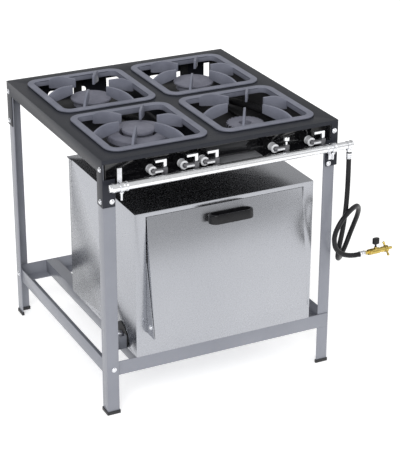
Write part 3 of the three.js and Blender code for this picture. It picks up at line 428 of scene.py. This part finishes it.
# ------------------------------------------------------------------ console
# The tray behind the gas pipe is black glass enamel. Between the middle and the right taps it
# carries a light polished plate, which gives the pale patch there: partly painted reflection.
glass_enamel = finish("glass_enamel", (0.006, 0.006, 0.007), (0.010, 0.010, 0.012), 0.10,
                      patch=7.0, grain=300.0, bump=0.03, spread=0.03, coat=0.5)
# The plate's light tone is partly painted reflection, the pale patch the glossy tray shows here.
polished = finish("plate_painted_reflection", (0.50, 0.51, 0.54), (0.62, 0.63, 0.66), 0.34, metal=0.7,
                  patch=14.0, grain=500.0, bump=0.02, spread=0.04, stretch=(0.15, 1.0, 1.0))
eased("console_tray", glass_enamel, "stand", 0.5)
plate = bar_of((138, 44, 1.0), 0.4)
bmesh.ops.translate(plate, vec=at(432, 27, 728.6), verts=plate.verts)
piece_from("console_plate_painted_reflection", plate, polished, "stand")

# ------------------------------------------------------------------ gas pipe
# Chromed steel pipe across the front. A hex plug closes it on the left, a hex elbow turns it
# down to the hose on the right, and a strap at each end bolts it to the corner angles.
chrome = finish("bright_chrome", (0.84, 0.85, 0.87), (0.93, 0.94, 0.96), 0.20, metal=0.92,
                patch=25.0, grain=600.0, bump=0.015, spread=0.05, stretch=(0.3, 1.0, 1.0))
pipe_low, pipe_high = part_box("gas_pipe")
pipe_middle = (pipe_low + pipe_high) / 2
pipe_radius = (pipe_high.z - pipe_low.z) / 2 / MM
pipe_length = (pipe_high.x - pipe_low.x) / MM
pipe_start = Vector((pipe_low.x, pipe_middle.y, pipe_middle.z))
pipe_end = Vector((pipe_high.x, pipe_middle.y, pipe_middle.z))
pipe = turned([(0, 0), (pipe_radius - 0.8, 0), (pipe_radius, 0.8),
               (pipe_radius, pipe_length - 0.8), (pipe_radius - 0.8, pipe_length),
               (0, pipe_length)], 64)
bmesh.ops.transform(pipe, matrix=towards(pipe_start, to_right), verts=pipe.verts)
pipe_piece = piece_from("gas_pipe_tube", pipe, chrome, "stand")
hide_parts("gas_pipe")

plug = turned([(0, 0.3), (13.5, 0.3), (13.5, 4.5), (11.8, 5.2), (11.8, 8.0), (0, 8.0)], 48)
bmesh.ops.transform(plug, matrix=towards(pipe_start, left), verts=plug.verts)
pour(plug, hexagon(24, 6.4, 1.2), towards(pipe_start + Vector((-7.4, 0, 0)) * MM, left))
plug_piece = piece_from("pipe_end_plug", plug, chrome, "stand")
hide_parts("pipe_plug")

elbow = turned([(0, 0.4), (12.6, 0.4), (12.6, 6), (11.4, 7), (11.4, 12), (12.8, 13),
                (12.8, 18.5), (11, 20.5), (7, 21.6), (0, 21.6)], 48)
bmesh.ops.transform(elbow, matrix=towards(pipe_end, to_right), verts=elbow.verts)
spout = spout_foot + Vector((0, 0, 18)) * MM
pour(elbow, turned([(0, 0), (9, 0), (9, 7), (8, 8), (8, 17.5), (0, 17.5)], 40),
     towards(spout, (0, 0, -1)))
pour(elbow, hexagon(19.8, 6, 1.0), towards(spout + Vector((0, 0, -9)) * MM, (0, 0, -1)))
elbow_piece = piece_from("hose_elbow_casting", elbow, chrome, "stand")
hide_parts("hose_elbow")

for side in ("left", "right"):
    eased("pipe_strap_" + side, bright_zinc, "stand", 0.6)

clamps = bmesh.new()
for x, tail_length in ((46, 26), (717, 22)):
    nut_place = at(x, -26, 727 - 14.6)
    pour(clamps, hexagon(13, 5), towards(nut_place, (0, 0, -1)))
    pour(clamps, turned([(0, 0), (3.2, 0), (3.2, tail_length - 1.5), (2.2, tail_length),
                         (0, tail_length)], 24), towards(nut_place, (0, 0, -1)))
for x in (60, 694):
    pour(clamps, turned([(11.7, 0), (14, 0), (14.4, 0.8), (14.4, 3.2), (14, 4), (11.7, 4),
                         (11.7, 0)], 48), towards(at(x, -26, 727), to_right))
piece_from("pipe_clamp_nuts", clamps, bright_zinc, "stand")

# ------------------------------------------------------------------ taps
# Cast tap bodies seat on the back of the pipe. Each blows through a jet into a burner's
# mixing tube, whose mouth carries a zinc air shutter. Handles are chromed castings.
dull_casting = finish("dull_casting", (0.10, 0.10, 0.11), (0.19, 0.19, 0.20), 0.38,
                      metal=0.6, patch=60.0, grain=700.0, bump=0.15)
# Shutters and jets: pale zinc, only partly metallic, so they stay white where bare zinc would
# mirror the black tray. This is painted highlight over the zinc's own light grey.
zinc_painted_highlight = finish("zinc_painted_highlight", (0.74, 0.75, 0.78), (0.86, 0.87, 0.89), 0.34, metal=0.35,
                    patch=70.0, grain=800.0, bump=0.05)
tap_names = ("front_left_ring", "front_left_core", "rear_left", "front_right", "rear_right")
tube_height = 746
shutters = bmesh.new()
jets = bmesh.new()
for name in tap_names:
    body_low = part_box("tap_body_" + name)[0]
    eased("tap_body_" + name, dull_casting, "stand", 0.9)
    mouth_x = (body_low.x - corner.x) / MM + 5
    mouth = at(mouth_x, 0, tube_height)
    shutter = turned([(6.6, 0), (12.6, 0), (12.8, 0.3), (12.8, 2.6), (12, 3.2), (12, 19),
                      (12.8, 20), (12.8, 22), (11.3, 22), (11.3, 1.0), (6.6, 1.0), (6.6, 0)], 40)
    pour(shutters, shutter, towards(mouth + Vector((0, -1.7, 0)) * MM, back))
    pour(jets, hexagon(9.5, 3.5, 0.5), towards(mouth + Vector((0, -5.4, 0)) * MM, back))
    tail_rod = bar_of((24, 5, 6), 1.0)
    pour(jets, tail_rod, Matrix.Translation(mouth + Vector((15, -9.5, -2)) * MM))
piece_from("air_shutters", shutters, zinc_painted_highlight, "stand")
piece_from("tap_jets", jets, zinc_painted_highlight, "stand")
for name in tap_names:
    if name != "front_right":
        eased("tap_lever_" + name, chrome, "lever_" + name, 1.5, 3)

knob_low, knob_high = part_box("tap_knob_front_right")
stem_foot = Vector(((knob_low.x + knob_high.x) / 2, (knob_low.y + knob_high.y) / 2, knob_low.z))
round_knob = turned([(0, 0), (4, 0), (4, 9), (5.5, 9.6), (8.6, 13), (9.5, 14.2), (9.5, 21.8),
                     (8.6, 23.2), (7.4, 23.7), (0, 23.7)], 48)
bmesh.ops.translate(round_knob, vec=stem_foot, verts=round_knob.verts)
round_piece = piece_from("tap_knob_turned", round_knob, chrome, "knob_front_right")
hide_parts("tap_knob_front_right")

# ------------------------------------------------------------------ burner bars
# Two flat steel bars with turned-up ends carry the burners. They are painted matt black and
# bolt through the slots in the cooktop's rear skirt.
matt_black = finish("matt_black", (0.010, 0.010, 0.011), (0.020, 0.020, 0.022), 0.5,
                    patch=20.0, grain=600.0, bump=0.12, worn=(0.05, 0.045, 0.04))
for name in ("burner_bar_left", "burner_bar_right"):
    eased(name, matt_black, "stand", 0.6)

# ------------------------------------------------------------------ spill tray, painted shade
# Thin black sheet under the bars, folded up at both sides: painted shade, a dark sheet that gives
# the dark seen down through the openings and shades the oven's top.
eased("spill_tray", matt_black, "stand", 0.4, 1)

# ------------------------------------------------------------------ burners
# Sand-cast iron. Two rear burners with flat loose caps over a slotted rim, a wide ring with a
# capped core at the front left, and a toothed ring at the front right.
burner_iron = finish("burner_iron", (0.155, 0.157, 0.198), (0.225, 0.228, 0.278), 0.58,
                     metal=0.1, patch=22.0, grain=480.0, bump=0.30, depth=0.30, shine=0.3,
                     worn=(0.110, 0.105, 0.120), worn_from=0.66)
tube_black = finish("tube_black", (0.008, 0.008, 0.009), (0.016, 0.016, 0.018), 0.5,
                    patch=20.0, grain=500.0, bump=0.15, shine=0.25)


def burner_casting(node, place, head, ports=None):
    """A burner's tube and foot, painted black, under a smooth turned head about a place."""
    shape = bmesh.new()
    shape.from_mesh(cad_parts[node].data)
    bmesh.ops.remove_doubles(shape, verts=shape.verts, dist=2e-6)
    bmesh.ops.dissolve_limit(shape, angle_limit=math.radians(0.5), verts=shape.verts,
                             edges=shape.edges)
    softened(shape, 0.8, 2)
    outer = max(radius for radius, height in head) * MM
    for face in shape.faces:
        middle = face.calc_center_median() - place
        face.material_index = 0 if Vector((middle.x, middle.y)).length < outer + MM else 1
    pour(shape, turned(head, 96), Matrix.Translation(place))
    if ports:
        count, radius, height, size = ports
        for i in range(count):
            turn_by = Matrix.Rotation(i * math.tau / count, 4, "Z")
            pour(shape, bar_of(size, 0.3, 1), Matrix.Translation(place) @ turn_by
                 @ Matrix.Translation((radius * MM, 0, height * MM)))
    mesh = bpy.data.meshes.new(node + "_casting")
    shape.to_mesh(mesh)
    shape.free()
    piece = settled(node + "_casting", mesh, burner_iron, "stand")
    mesh.materials.append(tube_black)
    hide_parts(node)


def middle_of(node):
    """The point in the middle of a node's plan, at the height of the cooktop."""
    low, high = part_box(node)
    return Vector(((low.x + high.x) / 2, (low.y + high.y) / 2, top_high.z))


flat_head = [(0, -64.8), (24.2, -64.8), (54.2, -42.2), (54.2, -30.2), (53, -29.6), (40, -29.6),
             (40, -30.6), (0, -30.6)]
for name in ("rear_left", "rear_right"):
    burner_casting("burner_" + name, middle_of("grate_" + name), flat_head,
                   (40, 47, -28.6, (12.0, 3.2, 3.4)))
front_left_middle = middle_of("grate_front_left")
burner_casting("burner_front_left_ring", front_left_middle,
               [(53.8, -16), (53.8, -38.2), (86.5, -38.2), (92.7, -30), (92.7, -16.2),
                (91.6, -13.6), (89.2, -12.7), (57, -12.7), (54.8, -13.6), (53.8, -16)],
               (48, 90.6, -20.0, (5.2, 2.6, 8.0)))
burner_casting("burner_front_left_core", front_left_middle,
               [(0, -65.2), (20.2, -65.2), (42.2, -34.2), (42.2, -16.8), (41, -16.4),
                (31.8, -16.4), (31.8, -17.6), (0, -17.6)],
               (28, 38, -15.8, (6.0, 3.0, 2.4)))
burner_casting("burner_front_right", middle_of("grate_front_right"),
               [(18.8, -44), (18.8, -62), (47, -62), (47, -43.2), (45.6, -42.6), (20.2, -42.6),
                (18.8, -44)],
               (24, 51.4, -50.0, (9.4, 5.2, 12.8)))
eased("oven_burner", burner_iron, "stand", 0.8)

cap_shapes = {
    "burner_cap_rear_left": [(0, 0), (57, 0), (62.2, 2.6), (62.5, 4), (62.5, 6.2), (61.6, 8.2),
                             (59.4, 9), (22, 8.4), (0, 8.2)],
    "burner_cap_rear_right": [(0, 0), (57, 0), (62.2, 2.6), (62.5, 4), (62.5, 6.2), (61.6, 8.2),
                              (59.4, 9), (22, 8.4), (0, 8.2)],
    "burner_cap_front_left": [(0, 0), (41.5, 0), (46.6, 2.8), (47.5, 4.6), (47.5, 9.4),
                              (46.6, 11.8), (44.2, 13), (18, 12.2), (0, 12)],
}
for node, profile in cap_shapes.items():
    cap_low, cap_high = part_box(node)
    cap = turned(profile, 72)
    foot_point = Vector(((cap_low.x + cap_high.x) / 2, (cap_low.y + cap_high.y) / 2, cap_low.z))
    bmesh.ops.translate(cap, vec=foot_point, verts=cap.verts)
    cap_piece = piece_from(node + "_casting", cap, burner_iron, "stand", 40.0)
    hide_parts(node)

# ------------------------------------------------------------------ grates
# Cast iron frames with rounded corners, hung in the openings by a flange. Six thin fingers rise
# in an arch from the frame and end in an upright tip short of the middle.
grate_iron = finish("grate_iron", (0.175, 0.184, 0.232), (0.235, 0.245, 0.302), 0.50,
                    metal=0.1, patch=16.0, grain=420.0, bump=0.25, depth=0.30, shine=0.35,
                    worn=(0.30, 0.31, 0.36), worn_from=0.70)


def rounded_ring(side, round_radius, wall, low, high, rounding):
    """A square ring with round corners between two heights, all in millimetres."""
    shape = bmesh.new()
    half = side / 2 * MM
    outline = [shape.verts.new((sx * half, sy * half, high * MM))
               for sx, sy in ((-1, -1), (1, -1), (1, 1), (-1, 1))]
    shape.faces.new(outline)
    bmesh.ops.bevel(shape, geom=outline, offset=round_radius * MM, offset_type="OFFSET",
                    segments=12, profile=0.5, affect="VERTICES", material=-1)
    middle = shape.faces[:]
    bmesh.ops.inset_region(shape, faces=middle, thickness=wall * MM, use_even_offset=True,
                           use_boundary=True)
    bmesh.ops.delete(shape, geom=middle, context="FACES")
    raised = bmesh.ops.extrude_face_region(shape, geom=shape.faces[:])
    bmesh.ops.translate(shape, vec=(0, 0, (low - high) * MM),
                        verts=[v for v in raised["geom"] if isinstance(v, bmesh.types.BMVert)])
    bmesh.ops.recalc_face_normals(shape, faces=shape.faces)
    return softened(shape, rounding, 3, 50.0)


def finger(reach):
    """One finger along +X in a grate's own frame, whose crown is at height 6."""
    shape = bmesh.new()
    arch = []
    start, pull, end = Vector((86, 26)), Vector((reach - 22, 25)), Vector((reach + 1, 5))
    steps = 10
    for i in range(steps + 1):
        t = i / steps
        arch.append((1 - t) ** 2 * start + 2 * t * (1 - t) * pull + t * t * end)
    outline = [(60, -1), (60, 26)] + [tuple(point) for point in arch]
    outline += [(reach + 3, 5), (reach + 3, -22), (reach - 6, -22)]
    thick = 7.0
    face = shape.faces.new([shape.verts.new((x * MM, -thick / 2 * MM, z * MM))
                            for x, z in outline])
    raised = bmesh.ops.extrude_face_region(shape, geom=[face])
    bmesh.ops.translate(shape, vec=(0, thick * MM, 0),
                        verts=[v for v in raised["geom"] if isinstance(v, bmesh.types.BMVert)])
    bmesh.ops.recalc_face_normals(shape, faces=shape.faces)
    return softened(shape, 1.5, 3, 28.0)


for name in corners:
    grate_low, grate_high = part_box("grate_" + name)
    outer = (grate_high.x - grate_low.x) / MM
    grate = rounded_ring(outer, 42, 21, 0.4, 6, 1.8)
    pour(grate, rounded_ring(outer - 34, 25, 4, -12, 5, 1.2))
    inner = outer / 2 - 21
    for i in range(6):
        angle = i * math.tau / 6
        reach = inner / max(abs(math.cos(angle)), abs(math.sin(angle)))
        pour(grate, finger(reach), Matrix.Rotation(angle, 4, "Z"))
    seat = Vector(((grate_low.x + grate_high.x) / 2, (grate_low.y + grate_high.y) / 2,
                   top_high.z))
    bmesh.ops.translate(grate, vec=seat, verts=grate.verts)
    grate_piece = piece_from("grate_casting_" + name, grate, grate_iron, "pan_grate_" + name,
                             38.0)
    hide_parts("grate_" + name)

# ------------------------------------------------------------------ oven case and cavity
# Polished stainless sheet, folded and spot welded. The cavity inside is galvanised, with a
# plated wire rack.
stainless = finish("polished_stainless", (0.40, 0.41, 0.44), (0.45, 0.46, 0.49), 0.27, metal=1.0,
                   patch=1.6, grain=140.0, bump=0.003, depth=0.02, spread=0.02)
galvanised = finish("galvanised", (0.36, 0.37, 0.39), (0.52, 0.53, 0.55), 0.42, metal=1.0,
                    patch=24.0, grain=300.0, bump=0.08, worn=(0.22, 0.18, 0.13))
eased("oven_case", stainless, "stand", 0.6)
eased("oven_cavity", galvanised, "stand", 0.5)
eased("oven_rack", chrome, "stand", 0.4, 1)

case_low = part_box("oven_case")[0]
inlet_low, inlet_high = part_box("oven_burner")
inlet = Vector((inlet_low.x, (inlet_low.y + inlet_high.y) / 2, (inlet_low.z + inlet_high.z) / 2))
# A black ring over the hole in the case's side round the oven burner's inlet, cut level with the
# case's bottom: painted shade for the dark inside the hole.
hole_shade_ring = turned([(14, 0), (44, 0), (45, 0.6), (45, 1.4), (14, 1.4), (14, 0)], 96)
bmesh.ops.transform(hole_shade_ring, matrix=towards(Vector((inlet.x + 13.4 * MM, inlet.y, inlet.z - 8 * MM)),
                                           left), verts=hole_shade_ring.verts)
bmesh.ops.bisect_plane(
    hole_shade_ring, geom=hole_shade_ring.verts[:] + hole_shade_ring.edges[:] + hole_shade_ring.faces[:],
    plane_co=(0, 0, case_low.z + 0.4 * MM), plane_no=(0, 0, -1), clear_outer=True)
bmesh.ops.holes_fill(hole_shade_ring, edges=[e for e in hole_shade_ring.edges if e.is_boundary])
piece_from("burner_inlet_painted_shade", hole_shade_ring, matt_black, "stand")
inlet_parts = bmesh.new()
pour(inlet_parts, turned([(8.2, 0), (12.6, 0), (12.6, 9), (11.2, 9.6), (11.2, 1.4), (8.2, 1.4),
                          (8.2, 0)], 40), towards(inlet + Vector((-1.6, 0, 0)) * MM, to_right))
pour(inlet_parts, hexagon(13, 7, 1.0), towards(inlet + Vector((3, 0, 0)) * MM, left))
pour(inlet_parts, turned([(0, 0), (4, 0), (4, 12), (3.2, 13), (0, 13)], 24),
     towards(inlet + Vector((3, 0, 0)) * MM, left))
piece_from("burner_inlet_nut", inlet_parts, bright_zinc, "stand")

# ------------------------------------------------------------------ oven door
# A shallow stainless pan with a galvanised back, hung on stub pins in two triangular side
# plates. The handle is a moulded black cup screwed to the front.
eased("door_shell", stainless, "oven_door", 0.7)
eased("door_back", galvanised, "oven_door", 0.5)
eased("hinge_plate_left", stainless, "stand", 0.4, 1)
eased("hinge_plate_right", stainless, "stand", 0.4, 1)

pin_heads = bmesh.new()
plate_left_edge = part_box("hinge_plate_left")[0].x
plate_right_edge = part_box("hinge_plate_right")[1].x
hinge_pin = at(0, -21, 271)
pour(pin_heads, turned(pan_head, 24), towards(
    Vector((plate_left_edge, hinge_pin.y, hinge_pin.z)), left))
pour(pin_heads, turned(pan_head, 24), towards(
    Vector((plate_right_edge, hinge_pin.y, hinge_pin.z)), to_right))
piece_from("hinge_pin_heads", pin_heads, bright_zinc, "stand")

door_low, door_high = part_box("door_shell")
lean = math.asin(50.0 / 365.5)


def on_door(x, y, z):
    """The move to a place on the leaning door: millimetres from its lower front edge's middle."""
    foot_edge = at((door_low.x + door_high.x - 2 * corner.x) / 2 / MM, -45, 242.5)
    return (Matrix.Translation(foot_edge) @ Matrix.Rotation(-lean, 4, "X")
            @ Matrix.Translation(Vector((x, y, z)) * MM))


cup = stadium_block(139, 48, 27, 2.4, 14)
rim = [face for face in cup.faces
       if face.normal.z > 0.99 and face.calc_center_median().z > 26 * MM]
bmesh.ops.inset_region(cup, faces=rim, thickness=4.2 * MM, use_even_offset=True)
sunk = bmesh.ops.extrude_face_region(cup, geom=rim)
bmesh.ops.delete(cup, geom=rim, context="FACES")
hollow = [v for v in sunk["geom"] if isinstance(v, bmesh.types.BMVert)]
bmesh.ops.translate(cup, vec=(0, 0, -20 * MM), verts=hollow)
bmesh.ops.transform(cup, matrix=on_door(0, -24.3, 319.25), verts=cup.verts)
handle_piece = piece_from("door_handle_cup", cup, black_moulding, "oven_door")
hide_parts("door_handle")
